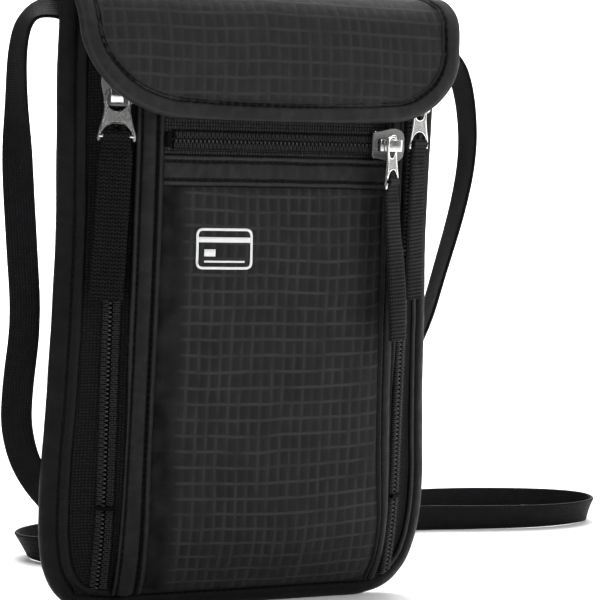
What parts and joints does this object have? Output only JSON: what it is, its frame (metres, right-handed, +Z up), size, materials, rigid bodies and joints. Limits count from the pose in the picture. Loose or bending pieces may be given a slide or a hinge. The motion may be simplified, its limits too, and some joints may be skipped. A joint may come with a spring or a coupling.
{
  "type": "neck pouch wallet",
  "caption": "Upright fabric neck pouch wallet with a rounded closing flap, side zips and a level front zip with ribbon pulls, and a flat webbing neck strap.",
  "frame": {"origin": "middle of the flat underside of the edge binding", "axes": "+X to the wearer's left-hand side seen from the front, front towards -Y, +Z up towards the flap's fold"},
  "size_m": [0.3028, 0.1703, 0.2032],
  "materials": {
    "ripstop_nylon": "matt ripstop weave with a raised grid",
    "plain_nylon": "smooth plain weave with a soft sheen",
    "zip_tape": "fine twill tape",
    "zip_coil": "satin nylon coil",
    "nickel": "polished nickel plate",
    "ribbon": "ribbed grosgrain",
    "webbing": "flat tubular webbing",
    "lining": "plain lining cloth",
    "shield_cloth": "metallised shielding cloth",
    "hook_tape": "moulded hooks",
    "loop_tape": "brushed loops",
    "moulded_plastic": "fine matt texture",
    "thread": "bonded sewing thread",
    "white_print": "screen-printed ink"
  },
  "bodies": {
    "pouch": {"back_panel": "plain_nylon", "back_slip_pocket": "lining", "card_pocket_panel": "lining", "edge_binding": "plain_nylon", "front_panel": "ripstop_nylon", "front_yoke": "plain_nylon", "front_zip_coils": "zip_coil", "front_zip_stops": "zip_coil", "front_zip_tapes": "zip_tape", "left_side_panel": "plain_nylon", "left_welt": "plain_nylon", "left_zip_coils": "zip_coil", "left_zip_stops": "zip_coil", "left_zip_tapes": "zip_tape", "loop_patches": "loop_tape", "mouth_facing": "plain_nylon", "neck_strap": "webbing", "pocket_band": "plain_nylon", "pocket_gusset": "lining", "pocket_lining": "lining", "rfid_back_liner": "shield_cloth", "rfid_front_liner": "shield_cloth", "right_side_panel": "plain_nylon", "right_welt": "plain_nylon", "right_zip_coils": "zip_coil", "right_zip_stops": "zip_coil", "right_zip_tapes": "zip_tape", "strap_adjuster": "moulded_plastic", "strap_anchors": "plain_nylon", "strap_tail": "webbing"},
    "flap": {"flap_shell": "ripstop_nylon", "flap_lining": "lining", "flap_binding": "plain_nylon", "hook_patches": "hook_tape"},
    "left_slider": {"left_slider_body": "nickel"},
    "left_pull": {"left_pull_tab": "nickel"},
    "left_ribbon": {"left_pull_ribbon": "ribbon"},
    "right_slider": {"right_slider_body": "nickel"},
    "right_pull": {"right_pull_tab": "nickel"},
    "right_ribbon": {"right_pull_ribbon": "ribbon"},
    "front_slider": {"front_slider_body": "nickel"},
    "front_pull": {"front_pull_tab": "nickel", "front_pull_ribbon": "ribbon"}
  },
  "joints": [
    {"name": "flap_hinge", "type": "hinge", "parent": "pouch", "child": "flap", "pos_m": [0, 0.0034, 0.2004], "axis": [-1, 0, 0], "range_deg": [0, 150]},
    {"name": "left_zip_slide", "type": "slide", "parent": "pouch", "child": "left_slider", "axis": [0, 0, -1], "range_m": [0, 0.127]},
    {"name": "right_zip_slide", "type": "slide", "parent": "pouch", "child": "right_slider", "axis": [0, 0, -1], "range_m": [0, 0.127]},
    {"name": "front_zip_slide", "type": "slide", "parent": "pouch", "child": "front_slider", "axis": [-1, 0, 0], "range_m": [0, 0.069]},
    {"name": "left_pull_hinge", "type": "hinge", "parent": "left_slider", "child": "left_pull", "pos_m": [-0.05411, -0.01226, 0.1697], "axis": [-0.8877, 0.4604, 0], "range_deg": [0, 30]},
    {"name": "right_pull_hinge", "type": "hinge", "parent": "right_slider", "child": "right_pull", "pos_m": [0.05626, -0.01247, 0.1697], "axis": [-0.8737, -0.4864, 0], "range_deg": [0, 30]},
    {"name": "front_pull_swing", "type": "hinge", "parent": "front_slider", "child": "front_pull", "pos_m": [0.0435, -0.0192, 0.1542], "axis": [0, 0, 1], "range_deg": [-15, 20]},
    {"name": "left_ribbon_hinge", "type": "hinge", "parent": "left_pull", "child": "left_ribbon", "pos_m": [-0.05411, -0.01226, 0.1547], "axis": [-0.8877, 0.4604, 0], "range_deg": [0, 100]},
    {"name": "right_ribbon_hinge", "type": "hinge", "parent": "right_pull", "child": "right_ribbon", "pos_m": [0.05626, -0.01247, 0.1547], "axis": [-0.8737, -0.4864, 0], "range_deg": [0, 100]}
  ]
}
